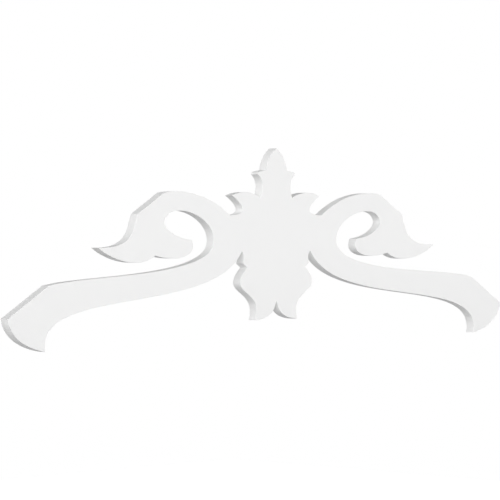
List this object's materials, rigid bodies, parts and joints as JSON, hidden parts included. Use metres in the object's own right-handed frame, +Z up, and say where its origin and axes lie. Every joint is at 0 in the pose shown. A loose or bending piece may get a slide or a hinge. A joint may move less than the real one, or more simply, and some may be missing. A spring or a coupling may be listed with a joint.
{
  "type": "gable pediment",
  "caption": "Flat scrolled gable pediment board with an acorn finial in the middle, and on each side a scroll, a hanging leaf and a long rail to a flared foot.",
  "frame": {"origin": "middle of the centre panel on the flat back face that lies on the wall, on the line of symmetry", "axes": "+X along the gable, towards the right seen from the front; +Y into the wall; +Z up"},
  "size_m": [1.8288, 0.0254, 0.4946],
  "materials": {
    "board": "satin"
  },
  "bodies": {
    "root": {"pediment": "board"}
  },
  "joints": []
}
